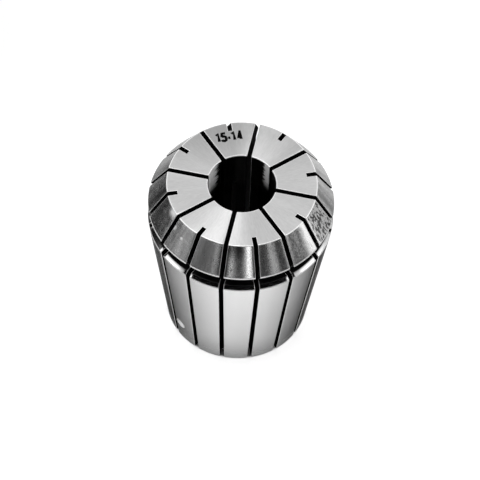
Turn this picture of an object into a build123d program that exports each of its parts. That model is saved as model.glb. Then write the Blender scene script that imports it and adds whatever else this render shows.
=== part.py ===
from build123d import *
from math import asin, cos, degrees, radians, sin, sqrt, tan
import os

os.makedirs("parts", exist_ok=True)

# A double-slotted spring collet of the ER40 series, one piece of spring steel.
# The axis is Z. The back (tail) end stands on Z = 0 and the front face, which
# takes the tool shank, looks up +Z. Sizes are in millimetres, angles in degrees.

# ---- Sizes -----------------------------------------------------------------

overall_length = 46.0       # back face to front face
max_diameter = 41.0         # across the head's rim and the top of the seat taper
bore_diameter = 15.0        # the largest shank that it clamps
bore_lead_in = 0.15         # 45 degree lead-in at both mouths of the bore

# Head: a front cone that the clamping nut presses on, ending in a narrow rim
head_length = 7.35          # front face to the head's underside
nut_cone_angle = 30.0       # each side, from the axis
rim_width = 0.5             # narrow band at the head's largest diameter
edge_break = 0.15           # light break on the head's corners

# Groove behind the head, for the nut's pull-off ring
groove_width = 4.3          # underside of the head to the top of the seat taper
groove_depth = 2.4          # below the largest diameter
groove_root_radius = 0.4    # fillets at the groove's two inside corners
shoulder_chamfer = 0.85     # 45 degree chamfer, groove to seat taper

# Seat: the long taper that closes the collet in its holder
seat_taper_angle = 8.0      # each side
back_chamfer = 0.3          # 45 degree chamfer round the back face

# Saw slots: one set is sawn in from each end, half a pitch apart
slots_per_end = 8
slot_width = 1.0
saw_radius = 30.0           # slitting saw; it leaves an arc at each slot's end
saw_overrun = 2.5           # how far the saw passes through the wall of the bore
front_notch_depth = 2.15    # back slots where they break out of the front face
back_notch_depth = 2.15     # front slots where they break out of the back face

# Dimple: a shallow ball-ended recess low on the seat, beside one front slot
dimple_diameter = 2.8
dimple_depth = 0.6
dimple_height = 6.35        # its centre, above the back face
dimple_margin = 0.15        # metal left between the dimple and the slot
dimple_slot = 5             # the front slot it lies beside, counted from +X

# ---- Derived positions -----------------------------------------------------

max_radius = max_diameter / 2
bore_radius = bore_diameter / 2
groove_radius = max_radius - groove_depth
cone_slope = tan(radians(nut_cone_angle))
seat_slope = tan(radians(seat_taper_angle))

underside_z = overall_length - head_length
rim_top_z = underside_z + rim_width
seat_top_z = underside_z - groove_width
face_radius = max_radius - (overall_length - rim_top_z) * cone_slope
back_radius = max_radius - seat_top_z * seat_slope
slot_pitch = 360 / slots_per_end


def seat_radius(z):
    """Radius of the seat taper at a height."""
    return back_radius + z * seat_slope


# ---- Turned blank ----------------------------------------------------------

# Half section of the blank as radius and height, from the back mouth of the
# bore outwards, up the outside and in across the front face
half_section = [
    (bore_radius, bore_lead_in),
    (bore_radius + bore_lead_in, 0),
    (back_radius - back_chamfer, 0),
    (seat_radius(back_chamfer), back_chamfer),
    (max_radius, seat_top_z),
    (max_radius - shoulder_chamfer, seat_top_z + shoulder_chamfer),
    (groove_radius, seat_top_z + shoulder_chamfer),
    (groove_radius, underside_z),
    (max_radius - edge_break, underside_z),
    (max_radius, underside_z + edge_break),
    (max_radius, rim_top_z - edge_break),
    (max_radius - edge_break * cone_slope, rim_top_z + edge_break),
    (face_radius + edge_break * cone_slope, overall_length - edge_break),
    (face_radius - edge_break, overall_length),
    (bore_radius + bore_lead_in, overall_length),
    (bore_radius, overall_length - bore_lead_in),
]

with BuildPart() as blank:
    with BuildSketch(Plane.XZ) as section:
        with BuildLine():
            Polyline(*half_section, close=True)
        make_face()
        fillet(
            section.vertices().filter_by(lambda corner: abs(corner.X - groove_radius) < 1e-6),
            radius=groove_root_radius,
        )
    revolve(axis=Axis.Z)


# ---- Saw slots -------------------------------------------------------------


def saw_sweep(web_radius):
    """What the slitting saw clears when it is fed in from the back end.

    The blade stops where its rim leaves the front face at web_radius. It
    clears everything outside its lowest line, and ends in an arc of its own
    radius, so that a web is left between the slot and the bore's front mouth.
    The slot lies along +X.
    """
    clearance = 1.0
    floor_radius = bore_radius - saw_overrun
    saw_centre_radius = floor_radius + saw_radius
    saw_centre_z = overall_length - sqrt(saw_radius**2 - (saw_centre_radius - web_radius) ** 2)
    outer_radius = max_radius + clearance
    top_z = overall_length + clearance
    end_angle = degrees(asin((top_z - saw_centre_z) / saw_radius))

    def rim_point(angle):
        """A point of the blade's rim, by its angle up from the lowest line."""
        return (
            saw_centre_radius - saw_radius * cos(radians(angle)),
            saw_centre_z + saw_radius * sin(radians(angle)),
        )

    with BuildPart() as sweep:
        with BuildSketch(Plane.XZ):
            with BuildLine():
                run_out = ThreePointArc(
                    rim_point(0), rim_point(end_angle / 2), rim_point(end_angle)
                )
                Polyline(
                    run_out @ 1,
                    (outer_radius, top_z),
                    (outer_radius, -clearance),
                    (floor_radius, -clearance),
                    run_out @ 0,
                )
            make_face()
        extrude(amount=slot_width / 2, both=True)
    return sweep.part


back_slot = saw_sweep(face_radius - front_notch_depth)
front_slot = mirror(
    saw_sweep(back_radius - back_notch_depth), about=Plane.XY.offset(overall_length / 2)
)

# ---- Dimple ----------------------------------------------------------------

# The ball that cuts the dimple, its centre out along the seat's own normal
dimple_ball_radius = (dimple_diameter**2 / 4 + dimple_depth**2) / (2 * dimple_depth)
dimple_stand_off = dimple_ball_radius - dimple_depth
dimple_offset = slot_width / 2 + dimple_margin + dimple_diameter / 2
dimple_angle = dimple_slot * slot_pitch + degrees(dimple_offset / seat_radius(dimple_height))
ball_centre = Vector(
    seat_radius(dimple_height) + dimple_stand_off * cos(radians(seat_taper_angle)),
    0,
    dimple_height - dimple_stand_off * sin(radians(seat_taper_angle)),
).rotate(Axis.Z, dimple_angle)

# ---- Finished collet -------------------------------------------------------

with BuildPart() as collet:
    add(blank.part)
    with PolarLocations(0, slots_per_end):
        add(front_slot, mode=Mode.SUBTRACT)
    with PolarLocations(0, slots_per_end, start_angle=slot_pitch / 2):
        add(back_slot, mode=Mode.SUBTRACT)
    with Locations(ball_centre):
        Sphere(dimple_ball_radius, mode=Mode.SUBTRACT)

export_step(collet.part, "parts/collet.step")
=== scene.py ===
# %% [markdown]
# # A double-slotted spring collet
#
# A spring collet is a short steel sleeve that a lathe or mill squeezes round a
# tool. Eight saw slots come in from each end, half a pitch apart, so the sleeve
# folds like a paper fan and closes evenly. This lesson builds one as a clean
# mesh, gives each machined surface its own finish, and lights it on a pale
# table. The CAD frame comes first, because every piece has to agree with it.

# %% The frame
from math import asin, atan2, cos, hypot, pi, radians, sin, sqrt, tan

import bmesh
import bpy
from mathutils import Matrix, Vector


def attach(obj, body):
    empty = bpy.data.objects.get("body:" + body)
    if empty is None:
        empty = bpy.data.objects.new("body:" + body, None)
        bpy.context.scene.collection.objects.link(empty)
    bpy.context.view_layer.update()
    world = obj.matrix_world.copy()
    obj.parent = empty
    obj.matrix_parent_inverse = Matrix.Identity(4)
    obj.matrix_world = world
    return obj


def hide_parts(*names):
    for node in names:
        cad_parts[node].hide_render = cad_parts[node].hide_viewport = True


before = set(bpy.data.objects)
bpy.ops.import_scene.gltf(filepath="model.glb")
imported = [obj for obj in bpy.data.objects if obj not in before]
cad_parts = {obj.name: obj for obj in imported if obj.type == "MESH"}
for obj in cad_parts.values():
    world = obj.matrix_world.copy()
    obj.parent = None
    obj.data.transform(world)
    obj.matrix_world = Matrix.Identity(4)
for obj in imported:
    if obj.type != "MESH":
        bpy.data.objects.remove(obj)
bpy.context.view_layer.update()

MM = 0.001

# %% [markdown]
# ## Camera
#
# A small turned part is best shown from far off through a long lens, which
# keeps the taper of the body honest: a near camera would make it look steeper.
# The camera looks down at 56 degrees, so the front face is an open ellipse
# and the long seat below it can still be read.

# %% Camera
camera_elevation = radians(55.69)
camera_azimuth = radians(-80.023)
camera_roll = radians(2.651)
camera_distance = 1243.864 * MM
render_size = 480                       # pixels along each side
focal_pixels = 5599.306
middle_height = 23 * MM                 # the aim starts here, half way up the collet,
aim_right, aim_up = 0.13 * MM, 0.633 * MM   # and moves this far across the view

look_back = Vector((
    cos(camera_elevation) * cos(camera_azimuth),
    cos(camera_elevation) * sin(camera_azimuth),
    sin(camera_elevation),
))
look_right = Vector((-sin(camera_azimuth), cos(camera_azimuth), 0))
look_up = look_back.cross(look_right)
aim = Vector((0, 0, middle_height)) + look_right * aim_right + look_up * aim_up

lens = bpy.data.cameras.new("camera")
lens.sensor_width = 36
lens.lens = focal_pixels / render_size * lens.sensor_width
camera = bpy.data.objects.new("camera", lens)
bpy.context.scene.collection.objects.link(camera)
turn = (Matrix((look_right, look_up, look_back)).transposed()
        @ Matrix.Rotation(camera_roll, 3, "Z"))
camera.matrix_world = Matrix.Translation(aim + look_back * camera_distance) @ turn.to_4x4()
bpy.context.scene.camera = camera
print("lens", round(lens.lens, 1), "mm at", round(camera_distance, 3), "m")

# %% [markdown]
# ## Sizes
#
# The numbers repeat the CAD model's, in millimetres. Everything round is
# described by a radius and a height, because the blank is turned on a lathe.

# %% Sizes
overall_length = 46.0
max_radius = 20.5
bore_radius = 7.5
bore_lead = 0.15
head_length = 7.35
cone_lean = radians(30)
rim_width = 0.5
edge_break = 0.15
groove_width = 4.3
groove_depth = 2.4
groove_fillet = 0.4
shoulder_chamfer = 0.85
seat_lean = radians(8)
back_chamfer = 0.3
slot_count = 8
slot_half = 0.5
saw_radius = 30.0
saw_floor_radius = 5.0
notch_depth = 2.15

underside_z = overall_length - head_length
rim_top_z = underside_z + rim_width
seat_top_z = underside_z - groove_width
shoulder_z = seat_top_z + shoulder_chamfer
groove_radius = max_radius - groove_depth
face_radius = max_radius - (overall_length - rim_top_z) * tan(cone_lean)
back_radius = max_radius - seat_top_z * tan(seat_lean)
front_web_radius = face_radius - notch_depth
back_web_radius = back_radius - notch_depth
half_pitch = pi / slot_count
print("face radius", round(face_radius, 3), "back radius", round(back_radius, 3))

# %% [markdown]
# ## One sixteenth of the collet
#
# The whole part is one small wedge repeated: half a jaw, from the middle of a
# front slot to the middle of the next back slot. A Boolean with sixteen saw
# blades would also cut it, but leaves long slivers that shade badly. Modelling
# the wedge by hand gives clean strips of faces, and every edge can then be
# given the small break that a real deburred edge has.
#
# The half section is a handful of corners. Each corner is rounded with a
# vertex bevel before it is spun, so lathe edges get their true soft line.

# %% Half section
shoulder_edge, seat_edge, rim_edge, mouth_edge = 0.1, 0.2, 0.12, 0.22   # roundings in mm
corners = [  # radius, height, how far the corner is rounded, segments
    (bore_radius, 0, bore_lead, 3),
    (back_radius, 0, back_chamfer, 3),
    (max_radius, seat_top_z, seat_edge, 3),
    (max_radius - shoulder_chamfer, shoulder_z, shoulder_edge, 2),
    (groove_radius, shoulder_z, groove_fillet, 5),
    (groove_radius, underside_z, groove_fillet, 5),
    (max_radius, underside_z, edge_break, 3),
    (max_radius, rim_top_z, rim_edge, 2),
    (face_radius, overall_length, edge_break, 3),
    (bore_radius, overall_length, mouth_edge, 3),
]

wedge = bmesh.new()
section = wedge.faces.new([wedge.verts.new((x, 0, z)) for x, z, _, _ in corners])
for vertex, (_, _, rounding, segments) in zip(list(section.verts), corners):
    bmesh.ops.bevel(
        wedge, geom=[vertex], offset=rounding, offset_type="OFFSET", affect="VERTICES",
        segments=segments, profile=0.5, material=-1, clamp_overlap=False,
    )
print("corners of the rounded half section:", len(wedge.verts))


# %% [markdown]
# ## Where the saw leaves the metal
#
# A slitting saw is a disc, so each slot ends in an arc. The arc meets the face
# at one radius and the bore at one height. Those two points are found first,
# and then added to the section, so that the slot wall can later be split from
# one to the other.

# %% Saw arcs
def saw_arc(web_radius, near_x, steps=8):
    """Points of the saw's arc from the face in to near_x: distance out, depth below the face."""
    reach = saw_floor_radius + saw_radius
    start, end = (asin(sqrt(1 - ((reach - x) / saw_radius) ** 2)) for x in (web_radius, near_x))
    drop = saw_radius * sin(start)
    angles = [start + (end - start) * i / steps for i in range(steps + 1)]
    return [(reach - saw_radius * cos(a), drop - saw_radius * sin(a)) for a in angles]


def in_wall(x):
    """Radius of the point of a slot wall that is x out from the axis."""
    return hypot(x, slot_half)


def out_of_wall(radius):
    """Distance out, along a slot wall, of a point at a radius."""
    return sqrt(radius**2 - slot_half**2)


bore_x = out_of_wall(bore_radius)
front_arc = saw_arc(front_web_radius, bore_x)   # back slots, breaking out of the front face
back_arc = saw_arc(back_web_radius, bore_x)     # front slots, breaking out of the back face
print("saw arcs reach", [round(arc[-1][1], 2) for arc in (front_arc, back_arc)],
      "mm deep at the bore")


# %% [markdown]
# A new point has to go on the edge that it lies on. On any other edge it would
# fold the outline back on itself, and the wall would be there three times over.

# %% Points for the arcs
def detour(edge, point):
    """How much longer the way along an edge gets by a point. 0 when the point is on it."""
    start, end = (v.co for v in edge.verts)
    return (point - start).length + (end - point).length - edge.calc_length()


splits = [  # radius and height of the ends of the two arcs
    (in_wall(front_web_radius), overall_length),
    (bore_radius, overall_length - front_arc[-1][1]),
    (in_wall(back_web_radius), 0),
    (bore_radius, back_arc[-1][1]),
]
for radius, height in splits:
    point = Vector((radius, 0, height))
    crossed = min(wedge.edges, key=lambda e: detour(e, point))
    _, new_vertex = bmesh.utils.edge_split(crossed, crossed.verts[0], 0.5)
    new_vertex.co = point
print("corners of the section with the arcs' ends:", len(wedge.verts))

# %% [markdown]
# ## Spinning the wedge
#
# The section is spun through half a pitch. Then every point slides round its
# own circle, so that the first and last columns lie exactly in the flat slot
# walls, half a millimetre off the middle of each slot, and the strips between
# stay evenly spaced.

# %% Spin and slide
columns = 10
axis = dict(cent=(0, 0, 0), axis=(0, 0, 1))
bmesh.ops.spin(
    wedge, geom=wedge.faces[:] + wedge.edges[:] + wedge.verts[:],
    angle=half_pitch, steps=columns, use_merge=False, **axis,
)
for vertex in wedge.verts:
    radius = hypot(vertex.co.x, vertex.co.y)
    along = atan2(vertex.co.y, vertex.co.x) / half_pitch
    inset = asin(slot_half / radius)
    angle = inset + along * (half_pitch - 2 * inset)
    vertex.co.xy = radius * cos(angle), radius * sin(angle)
bmesh.ops.recalc_face_normals(wedge, faces=wedge.faces[:])
print("faces in the spun wedge:", len(wedge.faces))

# %% [markdown]
# ## Slot walls and webs
#
# Both ends of the wedge are now one large flat face each: a slot wall. The
# saw's arc splits off the part of the wall where the metal goes on across the
# slot. That part, the web, is extruded to the middle of the slot, and the face
# left there is deleted because the mirrored half will meet it.

# %% Webs
straight_on = 0.99                      # cosine above which a face counts as facing one way
arc_gap = 1e-4                          # mm that a point of the arc may be off it


def wall_frame(back_slot):
    """The turn that brings a slot's middle plane onto the X axis, and the wedge's side of it."""
    return Matrix.Rotation(-half_pitch if back_slot else 0, 4, "Z"), -1 if back_slot else 1


def add_web(bm, back_slot, arc, face_z):
    """Split a slot wall along the saw's arc and carry the web to the middle of the slot."""
    to_x, side = wall_frame(back_slot)
    from_x = to_x.inverted()
    bm.normal_update()
    wall = max(
        (f for f in bm.faces if (to_x.to_3x3() @ f.normal).y * side < -straight_on),
        key=lambda f: f.calc_area(),
    )
    inward = -1 if face_z > 0 else 1
    points = [from_x @ Vector((x, side * slot_half, face_z + inward * drop)) for x, drop in arc]
    ends = [min(wall.verts, key=lambda v: (v.co - p).length) for p in (points[0], points[-1])]
    misses = [(v.co - p).length for v, p in zip(ends, (points[0], points[-1]))]
    print("arc ends are off by", [f"{miss:.6f}" for miss in misses])
    pieces = bmesh.utils.face_split(wall, ends[0], ends[1], coords=points[1:-1])[0], wall
    web = min(pieces, key=lambda f: f.calc_area())
    grown = bmesh.ops.extrude_face_region(bm, geom=[web])["geom"]
    cap = next(g for g in grown if isinstance(g, bmesh.types.BMFace))
    for vertex in cap.verts:
        flat = to_x @ vertex.co
        off_arc = min(hypot(flat.x - x, flat.z - face_z - inward * drop) for x, drop in arc[1:-1])
        flat.y = 0
        if off_arc > arc_gap:
            flat.x = in_wall(flat.x)
        vertex.co = from_x @ flat
    if web.is_valid:
        bmesh.ops.delete(bm, geom=[web], context="FACES")
    bmesh.ops.delete(bm, geom=[cap], context="FACES")


add_web(wedge, True, front_arc, overall_length)
add_web(wedge, False, back_arc, 0)
print("faces with both webs:", len(wedge.faces))

# %% [markdown]
# ## The full circle
#
# The wedge is mirrored across the front slot's middle plane, and the pair is
# copied round eight times. The seams lie in the middle of the slots, where
# merging doubles closes the webs. Mirrored faces point inwards until their
# normals are recalculated.

# %% Mirror and repeat
mirror_seam, turn_seam = 1e-4, 1e-3     # mm within which two points become one
bmesh.ops.mirror(
    wedge, geom=wedge.verts[:] + wedge.edges[:] + wedge.faces[:],
    matrix=Matrix.Identity(4), merge_dist=mirror_seam, axis="Y",
)
bmesh.ops.spin(
    wedge, geom=wedge.verts[:] + wedge.edges[:] + wedge.faces[:],
    angle=2 * pi, steps=slot_count, use_duplicate=True, use_merge=True, **axis,
)
bmesh.ops.remove_doubles(wedge, verts=wedge.verts[:], dist=turn_seam)
bmesh.ops.recalc_face_normals(wedge, faces=wedge.faces[:])


def open_edges(bm):
    """How many edges of a bmesh don't join exactly two faces."""
    return sum(not e.is_manifold for e in bm.edges)


print("faces all round:", len(wedge.faces), "open edges:", open_edges(wedge))

# %% [markdown]
# ## Sorting faces by finish
#
# Each surface was made on its own machine, so each gets its own finish. While
# the mesh is still plain, a face's place and direction say which one it is:
# slot walls face sideways, the cone leans by 30 degrees, the seat by 8. The
# small roundings match nothing, and get the bright finish of a broken edge.

# %% Finish of each face
finishes = ["ground_face", "ground_cone", "ground_seat", "turned_chamfer", "painted_shade_groove",
            "sawn_slot", "honed_bore", "ground_rim", "bright_edge", "drilled_dimple"]
place_gap = 0.05                        # mm that a face may be off its place
lean_gap = 0.01                         # how much a normal's height may be off a slope's own
sideways = 0.9                          # share of a normal across the radius in a slot wall


def finish_of(face):
    """Name of the finish that a face of the plain collet gets."""
    middle, normal = face.calc_center_median(), face.normal
    radius, height = hypot(middle.x, middle.y), middle.z
    outward = (normal.x * middle.x + normal.y * middle.y) / radius
    across = abs(normal.x * middle.y - normal.y * middle.x) / radius
    off_slot = (atan2(middle.y, middle.x) + half_pitch / 2) % half_pitch - half_pitch / 2
    in_slot = abs(sin(off_slot)) * radius < slot_half - place_gap
    if across > sideways or (in_slot and outward > 0 and radius > bore_radius + place_gap):
        return "sawn_slot"
    if outward < -straight_on:
        return "honed_bore"
    if abs(normal.z) > straight_on and not place_gap < height < overall_length - place_gap:
        return "ground_face"
    if abs(normal.z - sin(cone_lean)) < lean_gap and height > rim_top_z:
        return "ground_cone"
    if outward > straight_on and radius > max_radius - place_gap:
        return "ground_rim"
    if abs(normal.z + sin(seat_lean)) < lean_gap:
        return "ground_seat"
    if abs(normal.z - sin(pi / 4)) < lean_gap and seat_top_z < height < shoulder_z:
        return "turned_chamfer"
    if (shoulder_z - place_gap < height < underside_z + place_gap
            and radius < max_radius - edge_break):
        return "painted_shade_groove"
    return "bright_edge"


tally = dict.fromkeys(finishes, 0)
for face in wedge.faces:
    name = finish_of(face)
    face.material_index = finishes.index(name)
    tally[name] += 1
print("faces by finish:", tally)

# %% [markdown]
# ## Breaking the slot edges
#
# The saw leaves a burr, and brushing it off leaves a tiny line along every slot. A bevel on the
# steep outside edges gives that line real width, so it catches light from any side, and its pale
# finish is partly a painted highlight. Inside corners stay as the saw left them.
#
# The line is painted black in the groove and dark in the bore, as shade, apart from one edge in the
# bore that is painted bright all the way down, a painted highlight.

# %% Deburred slot edges
edge_line = 0.11
steep_angle = radians(60)
mouth_depth = 0.3                       # the bore's dark edges start this far in
highlight_edge, highlight_reach = radians(86.5), radians(2)


def finish_of_break(face):
    """Name of the finish that a bevelled slot edge gets."""
    middle = face.calc_center_median()
    radius = hypot(middle.x, middle.y)
    if shoulder_z < middle.z < underside_z and radius < max_radius - shoulder_chamfer:
        return "painted_shade_groove"
    in_bore = radius < bore_radius + edge_line and middle.z < overall_length - mouth_depth
    # one slot edge in the bore is painted bright all the way down, a painted highlight; the other
    # edges there are painted dark
    highlit = abs(atan2(middle.y, middle.x) - highlight_edge) < highlight_reach
    return "honed_bore" if in_bore and not highlit else "bright_edge"


steep = [e for e in wedge.edges if e.is_manifold and e.calc_face_angle_signed() > steep_angle]
broken = bmesh.ops.bevel(
    wedge, geom=steep, offset=edge_line, offset_type="OFFSET", affect="EDGES",
    segments=2, profile=0.5, material=-1, clamp_overlap=False,
)
for face in broken["faces"]:
    face.material_index = finishes.index(finish_of_break(face))
print("steep edges:", len(steep), "bevel faces:", len(broken["faces"]),
      "all faces:", len(wedge.faces), "open edges:", open_edges(wedge))

# %% [markdown]
# ## The dimple
#
# One jaw has a shallow ball-ended recess low on the seat. It is a sphere's cap
# pushed into a cone, and their crossing line follows neither the strips nor a
# circle, so here a Boolean is the right tool. The ball stands on the seat's
# own slope, and the result is baked into the mesh.

# %% Dimple
dimple_diameter, dimple_depth, dimple_height = 2.8, 0.6, 6.35
dimple_jaw, dimple_margin = 5, 0.15     # the jaw, and the metal left between dimple and slot
ball_radius = (dimple_diameter**2 / 4 + dimple_depth**2) / (2 * dimple_depth)
stand_off = ball_radius - dimple_depth
seat_radius = back_radius + dimple_height * tan(seat_lean)
dimple_from_slot = (slot_half + dimple_margin + dimple_diameter / 2) / seat_radius
ball_place = (
    Matrix.Rotation(dimple_jaw * 2 * half_pitch + dimple_from_slot, 4, "Z")
    @ Matrix.Translation((seat_radius + stand_off * cos(seat_lean), 0,
                          dimple_height - stand_off * sin(seat_lean)))
    @ Matrix.Rotation(pi / 2 + seat_lean, 4, "Y")
)
ball = bmesh.new()
bmesh.ops.create_uvsphere(ball, u_segments=40, v_segments=32, radius=ball_radius,
                          matrix=ball_place)


def as_object(bm, name):
    """A new object holding a bmesh, linked into the scene."""
    mesh = bpy.data.meshes.new(name)
    bm.to_mesh(mesh)
    bm.free()
    made = bpy.data.objects.new(name, mesh)
    bpy.context.scene.collection.objects.link(made)
    return made


def as_mesh(made):
    """A new mesh of an object as it looks with its modifiers or its curve's bevel."""
    seen = made.evaluated_get(bpy.context.evaluated_depsgraph_get())
    return bpy.data.meshes.new_from_object(seen)


blank, cutter = as_object(wedge, "blank"), as_object(ball, "ball_cutter")
for name in finishes:
    blank.data.materials.append(bpy.data.materials.new(name))
cutter.data.materials.append(blank.data.materials[-1])
cut = blank.modifiers.new("dimple", "BOOLEAN")
cut.operation, cut.solver, cut.object, cut.material_mode = "DIFFERENCE", "EXACT", cutter, "TRANSFER"
machined = as_mesh(blank)
print("finishes after the cut:", [m.name for m in machined.materials],
      "faces:", len(machined.polygons))
for scrap in (blank, cutter):
    bpy.data.objects.remove(scrap)

# %% [markdown]
# ## Shading the edges
#
# Smooth shading with weighted normals lets the large ground faces keep flat
# reflections while the narrow bevels turn softly between them. Only the inside
# corners of the slots and the dimple's rim stay sharp.

# %% Into metres
sharp_angle = radians(50)
finished = bmesh.new()
finished.from_mesh(machined)
bmesh.ops.scale(finished, vec=(MM, MM, MM), verts=finished.verts[:])
for face in finished.faces:
    face.smooth = True
for edge in finished.edges:
    edge.smooth = not edge.is_manifold or edge.calc_face_angle() < sharp_angle
finished.to_mesh(machined)
finished.free()
machined.name = "collet_steel"
collet = bpy.data.objects.new("collet_steel", machined)
bpy.context.scene.collection.objects.link(collet)
weighted = collet.modifiers.new("even_shading", "WEIGHTED_NORMAL")
weighted.keep_sharp = True
weighted.weight = 100                   # the largest face at a corner decides
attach(collet, "root")
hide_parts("collet")
finish = {m.name: m for m in machined.materials}
print("collet has", len(machined.polygons), "faces")

# %% [markdown]
# ## Shader arithmetic
#
# A finish is a small calculation: where is this point, how far along a
# scratch, how worn. Wiring Math nodes one by one hides that, so a thin class
# wraps a node's output and lets Python's own signs add the nodes.

# %% Signal and Bench
class Signal:
    """One output of a shader node. Arithmetic on it adds Math nodes."""

    def __init__(self, bench, socket):
        self.bench, self.socket = bench, socket

    def math(self, operation, *values):
        return self.bench.node("ShaderNodeMath", {"operation": operation}, dict(enumerate(values)))

    def __add__(self, other):
        return self.math("ADD", self, other)

    def __sub__(self, other):
        return self.math("SUBTRACT", self, other)

    def __rsub__(self, other):
        return self.math("SUBTRACT", other, self)

    def __mul__(self, other):
        return self.math("MULTIPLY", self, other)

    def __truediv__(self, other):
        return self.math("DIVIDE", self, other)

    def __rtruediv__(self, other):
        return self.math("DIVIDE", other, self)

    __radd__, __rmul__ = __add__, __mul__

    def root(self):
        return self.math("SQRT", self)

    def size(self):
        """The value without its sign."""
        return self.math("ABSOLUTE", self)


class Bench:
    """The node tree of one material or of the world, emptied and ready."""

    def __init__(self, owner):
        owner.use_nodes = True
        self.tree = owner.node_tree
        self.tree.nodes.clear()

    def node(self, kind, settings=None, sockets=None, result=0):
        """Add a node: its settings first, then a value or a Signal for each socket."""
        made = self.tree.nodes.new(kind)
        for name, value in (settings or {}).items():
            setattr(made, name, value)
        for name, value in (sockets or {}).items():
            socket = made.inputs[name]
            if isinstance(value, Signal):
                self.tree.links.new(value.socket, socket)
            else:
                socket.default_value = value
        return Signal(self, made.outputs[result] if made.outputs else None)

    def ramp(self, value, low, high, start=0.0, end=1.0):
        """value from low to high, eased and clamped, becomes start to end."""
        return self.node("ShaderNodeMapRange", {"interpolation_type": "SMOOTHSTEP"}, {
            "Value": value, "From Min": low, "From Max": high, "To Min": start, "To Max": end})

    def grey(self, level):
        """A grey colour from a number that varies over the surface."""
        return self.node("ShaderNodeCombineColor", None,
                         {"Red": level, "Green": level, "Blue": level})

    def vector(self, x, y, z):
        return self.node("ShaderNodeCombineXYZ", None, {"X": x, "Y": y, "Z": z})

    def parts(self, point):
        """The x, y and z of a point."""
        return [self.node("ShaderNodeSeparateXYZ", None, {"Vector": point}, part) for part in "XYZ"]

    def noise(self, place, scale, detail=3.0, roughness=0.5, distortion=0.0):
        """Soft noise, about 0 to 1."""
        return self.node("ShaderNodeTexNoise", None, {
            "Vector": place, "Scale": scale, "Detail": detail, "Roughness": roughness,
            "Distortion": distortion})

    def light_paths(self):
        """1 for what the camera sees, for what gloss mirrors, and for what shows through glass."""
        return [self.node("ShaderNodeLightPath", result=f"Is {kind} Ray")
                for kind in ("Camera", "Glossy", "Transmission")]

    def matt(self, level):
        """A matt grey paint or cloth."""
        return self.node("ShaderNodeBsdfDiffuse", None, {"Color": (level, level, level, 1)})

    def cover(self, surface, owner="Material"):
        """Make a shader the outside of the material or world."""
        self.node(f"ShaderNodeOutput{owner}", None, {"Surface": surface})


print("shader helpers:", *(name for name in vars(Bench) if not name.startswith("_")))

# %% [markdown]
# ## A room to mirror
#
# Polished steel has hardly a colour of its own: it shows the room. So the room
# is built first. It is plain white, at strength 1, which is white for the
# camera and light on the steel at once. Standard is the view that shows a
# colour as it is written.

# %% Room
bpy.context.scene.view_settings.view_transform = "Standard"

white = (1, 1, 1, 1)
room = bpy.data.worlds.new("room")
bpy.context.scene.world = room
bench = Bench(room)
walls = bench.node("ShaderNodeBackground", None, {"Color": white, "Strength": 1.0})
bench.cover(walls, "World")
print("view:", bpy.context.scene.view_settings.view_transform)

# %% [markdown]
# ## Table
#
# A pale table runs out on all sides. Matt paint takes the collet's shadow, and
# a glow is added to it. The camera meets a glow that makes the table white,
# but not under the collet's foot, where real light can't reach. Reflections
# meet a glow of their own: the seat leans out over the table and mirrors it, so
# how that glow falls off, towards the foot, behind the collet and beyond its
# right side, is how the seat is shaded.

# %% Table
table_radius = 3.0
table_paint = 0.6
table_glow, mirrored_glow = 0.65, 0.65
foot_radius = 15.3 * MM                 # where the collet stands and no glow is

disc = bmesh.new()
bmesh.ops.create_circle(disc, cap_ends=True, segments=96, radius=table_radius)
table = as_object(disc, "table")
material = bpy.data.materials.new("pale_table")
table.data.materials.append(material)
bench = Bench(material)

place = bench.node("ShaderNodeTexCoord", result="Object")
along_x, along_y, _ = bench.parts(place)
from_middle = bench.node("ShaderNodeVectorMath", {"operation": "LENGTH"}, {0: place}, "Value")
to_camera, to_gloss, through_glass = bench.light_paths()

open_table = bench.ramp(from_middle, foot_radius - 0.2 * MM, foot_radius + 0.6 * MM)
far_white = bench.ramp(from_middle, 50 * MM, 80 * MM, table_glow, 1.0)
seen_glow = open_table * (to_camera + through_glass) * far_white

off_front = (along_x - 4 * MM).size()   # the view comes in a little right of the Y axis
by_the_foot = bench.ramp(off_front, 6 * MM, 22 * MM, 0.66, 0.2)
in_shade = (bench.ramp(from_middle, 14 * MM, 22 * MM)
            * bench.ramp(from_middle, 17 * MM, 36 * MM, by_the_foot, 1.0))
front_lit = (bench.ramp(along_y, 5 * MM, 30 * MM, 1.0, 0.2)
             * bench.ramp(along_x, -28 * MM, 0, 0.85, 1.0)
             * bench.ramp(along_x, 24 * MM, 45 * MM, 1.0, 0.3))

glow = bench.node("ShaderNodeEmission", None, {
    "Color": white, "Strength": seen_glow + in_shade * to_gloss * front_lit * mirrored_glow})
bench.cover(bench.node("ShaderNodeAddShader", None, {0: glow, 1: bench.matt(table_paint)}))
print("table is", 2 * table_radius, "m across")

# %% [markdown]
# ## Lamps
#
# A large soft lamp hangs above and behind, and gives the face its sheen. Two
# strips at the sides draw the long highlights of the cone, small lamps low in
# front light single lands of it, and a tiny one close by on the right puts a
# glint on the groove's shoulder. Every lamp is a rectangle that looks at the
# collet, so one helper places them all.

# %% Lamps
def facing_collet(azimuth, elevation, distance, aim_height=30 * MM):
    """Place and turn of a flat thing that looks at the collet. Angles are in degrees."""
    a, e = radians(azimuth), radians(elevation)
    away = Vector((cos(e) * cos(a), cos(e) * sin(a), sin(e)))
    return (Matrix.Translation(away * distance + Vector((0, 0, aim_height)))
            @ away.to_track_quat("Z", "Y").to_matrix().to_4x4())


def soft_lamp(name, azimuth, elevation, distance, width, height, radiance):
    """A rectangular lamp. At radiance 1 it looks as bright as a lit white card."""
    lamp = bpy.data.lights.new(name, "AREA")
    lamp.shape, lamp.size, lamp.size_y = "RECTANGLE", width, height
    lamp.energy = radiance * pi * width * height
    made = bpy.data.objects.new(name, lamp)
    bpy.context.scene.collection.objects.link(made)
    made.matrix_world = facing_collet(azimuth, elevation, distance)
    print(name, "shines with", round(lamp.energy, 3), "W")


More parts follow.
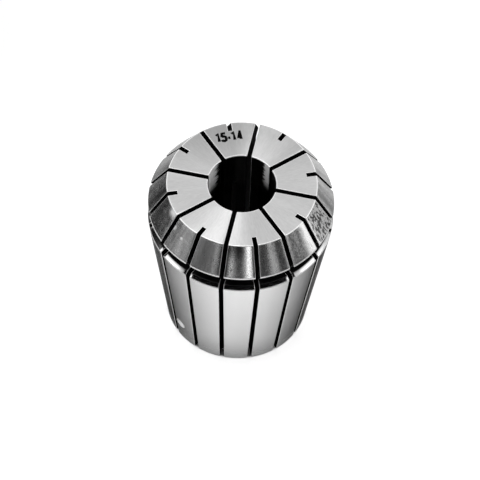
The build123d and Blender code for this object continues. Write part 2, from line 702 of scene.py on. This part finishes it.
lamps = [  # name, azimuth and elevation in degrees, distance, width, height in m, radiance
    ("overhead", -158, 77, 1.0, 0.5, 0.5, 2.75),
    ("left_strip", -153, 20, 1.0, 0.35, 0.22, 1.3),
    ("right_strip", 5, 19, 1.0, 0.6, 0.22, 1.3),
    ("low_right", -43, 3, 1.2, 0.15, 0.16, 1.5),
    ("low_front_right", -69, 4, 1.2, 0.08, 0.2, 6.0),
    ("low_front", -87, 4, 1.2, 0.04, 0.2, 4.0),
    ("right_glint", 0, -1.5, 0.16, 0.03, 0.03, 0.75),
    ("low_front_left", -105, 3, 1.2, 0.04, 0.2, 1.8),
]
for lamp in lamps:
    soft_lamp(*lamp)


# %% [markdown]
# ## Curtains
#
# White walls alone would wash bright steel out. Curtains stand round the front
# and the left, most of them dark, as a studio hangs them to draw dark lines in
# metal. The camera doesn't see them. Only light and reflections meet them.

# %% Curtains
def hang(bm, name, level):
    """Finish a curtain, card or cloth: matt, of one grey, and unseen by the camera."""
    made = as_object(bm, name)
    material = bpy.data.materials.new(name)
    bench = Bench(material)
    bench.cover(bench.matt(level))
    made.data.materials.append(material)
    made.visible_camera = False
    print(name, "reflects", level)


def curtain(name, azimuth, elevation, distance, width, height, level, aim_height=30 * MM):
    """A flat curtain that faces the collet."""
    card = bmesh.new()
    bmesh.ops.create_grid(card, x_segments=1, y_segments=1, size=0.5)
    bmesh.ops.scale(card, vec=(width, height, 1), verts=card.verts[:])
    place = facing_collet(azimuth, elevation, distance, aim_height)
    bmesh.ops.transform(card, matrix=place, verts=card.verts[:])
    hang(card, name, level)


curtains = [  # name, azimuth, elevation, distance, width, height, grey level, height it faces
    ("front_curtain", -80, 25, 2.0, 5.0, 2.6, 0.004),
    ("low_curtain", -70, 4, 1.9, 3.4, 0.4, 0.08),
    ("low_left_curtain", -118, 4, 1.8, 1.1, 0.4, 0.6),
    ("left_curtain", 178, 12, 1.8, 0.9, 0.5, 0.02),
    ("left_card", 165, 0, 0.085, 0.12, 0.04, 0.03, 20 * MM),
]
for line in curtains:
    curtain(*line)

# %% [markdown]
# ## Cloths on the table
#
# The sides of the cone lean so that they mirror the table further out. A black
# cloth lies there on the left and in front, and a grey one on the right, so the
# cone comes out dark with a paler right side. Both are flat rings, spun from
# one edge.

# %% Cloths
cloth_near, cloth_far = 85 * MM, 2.0
cloth_height = 0.5 * MM
cloth_folds = 32


def cloth(name, start, end, level):
    """A flat ring of matt cloth from one azimuth to another, in degrees."""
    ring = bmesh.new()
    ends = [ring.verts.new((x, 0, cloth_height)) for x in (cloth_near, cloth_far)]
    hem = ring.edges.new(ends)
    bmesh.ops.spin(ring, geom=[*ends, hem], angle=radians(end - start), steps=cloth_folds, **axis)
    bmesh.ops.rotate(ring, verts=ring.verts[:], cent=(0, 0, 0),
                     matrix=Matrix.Rotation(radians(start), 3, "Z"))
    hang(ring, name, level)


cloth("dark_cloth", -225, -17, 0.01)
cloth("grey_cloth", -17, 45, 0.35)

# %% [markdown]
# ## Where a mark lies
#
# Every mark on a turned part runs either round the axis, as a tool or a
# grinding wheel leaves it, or along it. So each finish starts from the same
# signals, in millimetres: the point, its radius, its height, and its direction
# from the axis. Noise that is stretched along that direction makes the rings.

# %% Marks on steel
slot_pitch = 2 * half_pitch
grain_turn = 0.25                       # a quarter turn lays the grain round the axis


class Steel:
    """One finish: the bench of its material and the signals its marks are made from."""

    def __init__(self, name):
        bench = self.bench = Bench(finish[name])
        self.name = name
        point = bench.node("ShaderNodeTexCoord", result="Object")
        in_mm = (1 / MM, 1 / MM, 1 / MM)
        self.point = bench.node("ShaderNodeMapping", None, {"Vector": point, "Scale": in_mm})
        self.x, self.y, self.z = bench.parts(self.point)
        self.radius = (self.x * self.x + self.y * self.y).root()
        self.cosine, self.sine = self.x / self.radius, self.y / self.radius
        self.angle = self.y.math("ARCTAN2", self.y, self.x)

    def around(self, reach, along, detail, roughness):
        """Noise on a circle: reach is how quickly it changes round the axis."""
        bench = self.bench
        place = bench.vector(self.cosine * reach, self.sine * reach, along)
        return bench.noise(place, 1, detail, roughness)

    def rings(self, across, fineness, reach=4.0):
        """Fine marks that run round the axis. fineness is marks per mm across them."""
        return self.around(reach, across * fineness, 3.0, 0.6)

    def rays(self, fineness, along, reach=0.08, detail=2.0):
        """Soft streaks that run along the axis or out from it, fineness per 1/16 turn."""
        return self.around(fineness * slot_count / pi, along * reach, detail, 0.5)

    def mottle(self, fineness, detail=3.0, distortion=0.0):
        """Cloudy patches, fineness per mm."""
        return self.bench.noise(self.point, fineness, detail, 0.55, distortion)

    def spot(self, x, y, z, reach):
        """1 at a point given in mm, fading to 0 at reach."""
        off = self.bench.node("ShaderNodeVectorMath", {"operation": "DISTANCE"},
                              {0: self.point, 1: (x, y, z)}, "Value")
        return self.bench.ramp(off, 0.0, reach, 1.0, 0.0)

    def toward(self, x, y):
        """Near 1 on the side that a direction points to, and less the further round from it."""
        return self.cosine * x + self.sine * y

    def near_slot(self, start, end, pitch=half_pitch):
        """1 beside a saw slot, fading to 0 between start and end mm from its middle.

        The angle is folded at each slot. A whole turn is added first, because a
        fold needs a positive angle.
        """
        off_slot = self.angle.math("PINGPONG", self.angle + 2 * pi, pitch / 2)
        return self.bench.ramp(off_slot * self.radius, start, end, 1.0, 0.0)

    def coat(self, base, roughness, height, bump, grain=0.0, tint=1.0, metal=1.0):
        """Finish the material.

        base and roughness vary over it, and so does height, whose bump is in mm.
        grain stretches highlights, tint 0 keeps the steel dark where it is seen
        edge on, and metal is how much of it is bare.
        """
        bench = self.bench
        normal = bench.node("ShaderNodeBump", None, {
            "Height": height, "Distance": bump * MM, "Strength": 1.0}, "Normal")
        surface = bench.node("ShaderNodeBsdfPrincipled", None, {
            "Base Color": bench.grey(base), "Metallic": metal, "Roughness": roughness,
            "Anisotropic": grain, "Anisotropic Rotation": grain_turn,
            "Specular Tint": (tint, tint, tint, 1), "Normal": normal})
        bench.cover(surface)
        print(self.name, "has", len(bench.tree.nodes), "nodes")


print("finishes to make:", len(finish))

# %% [markdown]
# ## Front and back face
#
# The faces are ground on a turning table, so their scratches are rings. Such
# rings stretch every highlight into a bow tie across the bore. Anisotropy does
# that at any render size, and a very fine bump adds rings that show close up.
# The far half of the face is painted darker, a painted shade, and handling has polished a paler
# line beside the slots and round both rims.

# %% Face
steel = Steel("ground_face")
bench = steel.bench
rings, clouds = steel.rings(steel.radius, 9.0), steel.mottle(0.22)
rays, hairs = steel.rays(2.2, steel.radius), steel.rays(17.0, steel.radius, 0.8, 3.0)
outer_rim = bench.ramp(steel.radius, 16.0, 16.5)
bore_rim = bench.ramp(steel.radius, 8.1, 7.6)
polished = steel.near_slot(0.55, 1.0, slot_pitch) + outer_rim + bore_rim
# painted shade: the far half of the face is darker, down to 0.68
painted_far_shade = bench.ramp(steel.y * 0.96 - steel.x * 0.2, 1.0, 15.0, 1.0, 0.68)
streaks = 0.4 + rings * 0.04 + rays * 0.13 + clouds * 0.06 + hairs * 0.18
steel.coat(
    base=streaks * painted_far_shade + polished * 0.03,
    roughness=0.22 + rings * 0.05 + clouds * 0.08 + hairs * 0.06 - polished * 0.03,
    height=rings, bump=0.0012, grain=1.0,
)

# %% [markdown]
# ## Nut cone
#
# The cone is ground on the outside of a turning blank, and the nut rubs along it as it closes,
# which adds streaks that run the other way. It has taken the most wear, so its mottling is strong.
# First come the marks that lie all over it: grinding rings, rubbed streaks, clouds, dark pits,
# bright dings, and the paler line beside the slots and along the top edge. Three spots, each at a
# point in mm, are worn rougher and painted pale, a painted highlight.

# %% Cone marks
steel = Steel("ground_cone")
bench = steel.bench
rings, rubs = steel.rings(steel.z, 7.0), steel.rays(5.0, steel.z)
clouds, grains = steel.mottle(0.9, 5.0, 0.8), steel.mottle(2.2)
pits = bench.ramp(steel.mottle(1.7, 1.0), 0.68, 0.74)
dings = bench.ramp(steel.mottle(1.3, 1.0), 0.3, 0.24)
top_edge = bench.ramp(steel.z, overall_length - 0.9, overall_length - 0.2)
polished = steel.near_slot(0.5, 0.9) + top_edge
# three worn spots, rougher and painted pale as highlights
worn_spots_and_highlights = (steel.spot(-13.0, -10.7, 45.5, 1.9) * 0.8
         + steel.spot(-10.2, -15.2, 43.0, 0.5) * 0.7
         + steel.spot(-12.3, -13.0, 43.8, 1.1) * 0.5)
marked = (rubs * 0.9 + clouds * 0.36 - 0.03 + worn_spots_and_highlights * 0.6 + polished * 0.08
          - pits * 0.12 + dings * 0.3)
print("cone marks:", len(bench.tree.nodes), "nodes so far")

# %% [markdown]
# Then come the marks of single lands, the strips between one slot and the next. The land on the
# right is scored by a chip into ragged black flecks, and its colour is painted brighter, a painted
# light. The next one towards the front is painted a little brighter too, and carries a painted
# shade, thinner beside the slots and gone on its lit edge. A front one has a painted shade along
# its top edge. Each painted shade multiplies the marks below.

# %% Cone wear
scratches = steel.around(34, steel.z * 0.8, 2, 0.55)
scored_land_painted_bright = bench.ramp(steel.toward(0.982, -0.191), 0.962, 0.98)     # about -11 degrees
painted_light_and_shade_land = bench.ramp(steel.toward(0.83, -0.557), 0.95, 0.985)        # about -34 degrees

flecks = (bench.ramp(scratches * 0.7 + grains * 0.3, 0.55, 0.46) * scored_land_painted_bright
          * (1 - steel.near_slot(0.6, 1.0) * 0.6))

# painted shade on the land at about -34 degrees, thinner beside the slots and gone on its lit edge
shade_thinning_height = bench.ramp(steel.z, rim_top_z, overall_length - 2, 0.55, 1.0)
shade_thinning_by_slot = steel.near_slot(0.7, 1.5) * shade_thinning_height
painted_shade_cutoff = bench.ramp(steel.angle, radians(-33.5), radians(-26.5))
painted_land_shade = (painted_light_and_shade_land * bench.ramp(grains, 0.3, 0.65, 0.86, 0.66)
       * (1 - shade_thinning_by_slot * 0.5) * (1 - painted_shade_cutoff))

# painted shade along the top edge of a front land
painted_top_shade = (bench.ramp(steel.angle, radians(-75), radians(-79))
         * bench.ramp(steel.angle, radians(-92), radians(-90))
         * bench.ramp(steel.z, 41.5, 45.5, 0.0, 0.75))

# painted light: the last factor of the base paints two lands brighter
steel.coat(
    base=(marked * (1 - flecks * 0.88) * (1 - painted_land_shade) * (1 - painted_top_shade)
          * (1 + scored_land_painted_bright * 1.7 + painted_light_and_shade_land * 0.6)),
    roughness=0.15 + clouds * 0.1 + rubs * 0.08 + pits * 0.1 + worn_spots_and_highlights * 0.4,
    height=rings * 0.5 + clouds * 0.4 + rubs * 1.2, bump=0.003, grain=0.6,
)

# %% [markdown]
# ## Seat
#
# The seat is the cleanest surface of all: ground fine, then wiped by the taper of the holder. It
# stays pale and glossy, with faint rings. Towards the foot it is painted darker, a painted shade,
# and it is rougher there.

# %% Seat
steel = Steel("ground_seat")
rings, rubs, clouds = steel.rings(steel.z, 6.0), steel.rays(3.0, steel.z, 0.03), steel.mottle(0.3)
# painted shade: darker towards the foot, and rougher there
painted_foot_shade_and_rough = steel.bench.ramp(steel.z, 5.0, 0.3)
polished = steel.near_slot(0.5, 0.95)
steel.coat(
    base=0.86 + rubs * 0.06 + rings * 0.03 + clouds * 0.04 + polished * 0.03 - painted_foot_shade_and_rough * 0.06,
    roughness=0.17 + rings * 0.05 + clouds * 0.05 + painted_foot_shade_and_rough * 0.1,
    height=rings * 0.7 + rubs, bump=0.0015, grain=0.3, tint=0.0,
)

# %% [markdown]
# ## Turned surfaces
#
# The chamfer, the groove and the rim come straight from the lathe tool, so their rings are coarser
# and even. The groove is painted near black, a painted shade under the head, and that painted shade
# fades out over the chamfer.

# %% Chamfer, groove and rim
steel = Steel("turned_chamfer")
rings, clouds = steel.rings(steel.z, 9.0), steel.mottle(0.8)
# painted shade: the chamfer darkens towards the groove
painted_groove_shade = steel.bench.ramp(steel.z, shoulder_z + 0.1, seat_top_z + 0.3, 0.25, 1.0)
steel.coat(
    base=(0.5 + rings * 0.1 + clouds * 0.1) * painted_groove_shade,
    roughness=0.1 + clouds * 0.06 + rings * 0.03,
    height=rings, bump=0.003, grain=0.4,
)

steel = Steel("painted_shade_groove")
rings, clouds = steel.rings(steel.z, 5.0), steel.mottle(0.6, 4.0)
# near black base: painted shade in the groove
steel.coat(
    base=0.01 + clouds * 0.03 + rings * 0.01,
    roughness=0.35 + clouds * 0.15,
    height=rings + clouds, bump=0.006, tint=0.0,
)

steel = Steel("ground_rim")
rings, clouds = steel.rings(steel.z, 9.0), steel.mottle(0.7)
steel.coat(
    base=0.5 + rings * 0.1 + clouds * 0.2,
    roughness=0.16 + clouds * 0.1,
    height=rings, bump=0.002, grain=0.5,
)

# %% [markdown]
# ## Saw cuts
#
# A slitting saw leaves arcs on the wall. The wall is painted near black, the painted shade of so
# narrow a cut. Coarse rings stand in for the arcs.

# %% Slot walls
steel = Steel("sawn_slot")
arcs = steel.rings(steel.z, 3.0, 1.0)
clouds = steel.mottle(0.9)
# near black base: painted shade of the narrow cut
steel.coat(
    base=0.008 + arcs * 0.02 + clouds * 0.015,
    roughness=0.4 + clouds * 0.2,
    height=arcs + clouds, bump=0.008, tint=0.0,
)

# %% [markdown]
# ## Bore
#
# The bore is honed: two sets of slanting scratches cross in it. It is painted near black, a painted
# shade, blackest low down. A ragged pale patch on each side near the mouth is a painted highlight.
# Noise that is added to the angle and the height before the ramps gives the patches their ragged
# edges.

# %% Bore
steel = Steel("honed_bore")
bench = steel.bench
turn = steel.angle * bore_radius
slant, across = turn * 0.25, turn * 0.02
hone_up, hone_down = (bench.noise(bench.vector(along, across, steel.radius), 3.0, 3.0, 0.6)
                      for along in (slant + steel.z, slant - steel.z))
# near black base, blackest low down: painted shade inside the bore
painted_depth_shade = bench.ramp(steel.z, overall_length - 9, overall_length - 12, 1.0, 0.3)

teeth = steel.around(1.5, steel.z * 1.8, 4.0, 0.75) - 0.5
degree = steel.angle * (180 / pi)
# pale matt patches near the mouth: painted highlights
left_highlight = bench.ramp(degree + teeth * 40, 145, 153)
right_highlight = bench.ramp(degree, 47, 50) * bench.ramp(degree + teeth * 22, 64, 58)
near_mouth = bench.ramp(steel.z + teeth * 4, overall_length - 10, overall_length - 6)
painted_highlights = (left_highlight + right_highlight) * near_mouth
steel.coat(
    base=(0.01 + hone_up * 0.015 + hone_down * 0.015) * painted_depth_shade + painted_highlights * 0.97,
    roughness=0.3 + hone_up * 0.08 + painted_highlights * 0.2,
    height=hone_up + hone_down, bump=0.004, metal=1 - painted_highlights,
)

# %% [markdown]
# ## Broken edges and dimple
#
# A brushed edge and a drilled recess are rough, and are also painted pale, a painted highlight, so
# they stay pale whatever the room does. Lowering the metal share a little gives them that, and it
# keeps thin lines from breaking up into dots.

# %% Edges and dimple
# partly painted highlight: pale base and less metal
steel = Steel("bright_edge")
clouds = steel.mottle(1.2)
steel.coat(
    base=0.8 + clouds * 0.2,
    roughness=0.25 + clouds * 0.12,
    height=clouds, bump=0.004, metal=0.6,
)

# partly painted highlight: pale base and less metal
steel = Steel("drilled_dimple")
clouds, rings = steel.mottle(1.5), steel.rings(steel.z, 4.0)
steel.coat(
    base=0.8 + clouds * 0.15,
    roughness=0.25 + clouds * 0.12,
    height=clouds + rings, bump=0.004, metal=0.5,
)

# %% [markdown]
# ## The size range
#
# One jaw is marked with the range of shanks that the collet takes, 15 down to
# 14 mm, etched black. The strokes are short lines with a round bevel, made
# flat, so that they have even weight and closed ends. They lie in the face to
# a few hundredths of a millimetre, as an etched mark does.

# %% Numerals
mark_low, mark_high = 11.85, 13.9       # feet and heads of the numerals, mm from the axis


def one(x):
    """A 1 as one bent stroke, its stem at x."""
    return [[(x - 0.46, mark_high - 0.42), (x, mark_high), (x, mark_low)]]


def four(x):
    """A 4 as one bent stroke, its stem at x."""
    bar = mark_low + 0.5
    return [[(x + 0.3, bar), (x - 0.6, bar), (x - 0.02, mark_high), (x, mark_high), (x, mark_low)]]


def five(x):
    """A 5 as two strokes, its back at x."""
    middle, low = mark_low + 1.25, mark_low
    return [
        [(x + 0.85, mark_high), (x + 0.1, mark_high), (x, middle - 0.15)],
        [(x, middle - 0.15), (x + 0.4, middle + 0.05), (x + 0.78, middle - 0.15),
         (x + 0.92, middle - 0.6), (x + 0.76, low + 0.15), (x + 0.4, low),
         (x + 0.06, low + 0.12), (x - 0.08, low + 0.4)],
    ]


dash = [[(-0.8, 12.55), (-0.3, 12.55)]]
strokes = one(-2.87) + five(-2.13) + dash + one(0.58) + four(1.99)
print("strokes:", len(strokes))

# %% [markdown]
# The pen draws every stroke as a straight-run curve round the origin. Its mesh
# is then pressed flat, turned to its jaw and sunk into the face, so that only
# the top of each stroke stands out.

# %% Size mark
stroke_width = 0.72
pressed_flat = 0.06                     # share of the stroke's round height that is kept
sunk = 0.002
same_point = 0.0005
mark_turn = radians(22.5)               # "up" points out from the axis on the jaw beside +Y

pen = bpy.data.curves.new("size_mark", "CURVE")
pen.dimensions, pen.use_fill_caps = "3D", True
pen.bevel_depth, pen.bevel_resolution = stroke_width / 2, 3
for stroke in strokes:
    spline = pen.splines.new("POLY")
    spline.points.add(len(stroke) - 1)
    for point, (x, y) in zip(spline.points, stroke):
        point.co = (x, y, 0, 1)
drawn = bpy.data.objects.new("size_mark_pen", pen)
bpy.context.scene.collection.objects.link(drawn)
marks = as_mesh(drawn)
bpy.data.objects.remove(drawn)

mark_place = (Matrix.Scale(MM, 4) @ Matrix.Translation((0, 0, overall_length - sunk))
              @ Matrix.Rotation(mark_turn, 4, "Z") @ Matrix.Diagonal((1, 1, pressed_flat, 1)))
ink = bmesh.new()
ink.from_mesh(marks)
bmesh.ops.remove_doubles(ink, verts=ink.verts[:], dist=same_point)
bmesh.ops.transform(ink, matrix=mark_place, verts=ink.verts[:])
bmesh.ops.recalc_face_normals(ink, faces=ink.faces[:])
print("mark faces:", len(ink.faces), "open edges:", open_edges(ink))
size_mark = as_object(ink, "size_mark")
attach(size_mark, "root")

# %% [markdown]
# The etched black is a thin rough film: nearly no colour, a little mottled,
# and dark from every side.

# %% Etched black
finish["size_mark"] = bpy.data.materials.new("etched_mark")
size_mark.data.materials.append(finish["size_mark"])
steel = Steel("size_mark")
soot = steel.mottle(2.5)
steel.coat(base=soot * 0.01, roughness=0.6 + soot * 0.2, height=soot, bump=0.004, tint=0.0)

# %% [markdown]
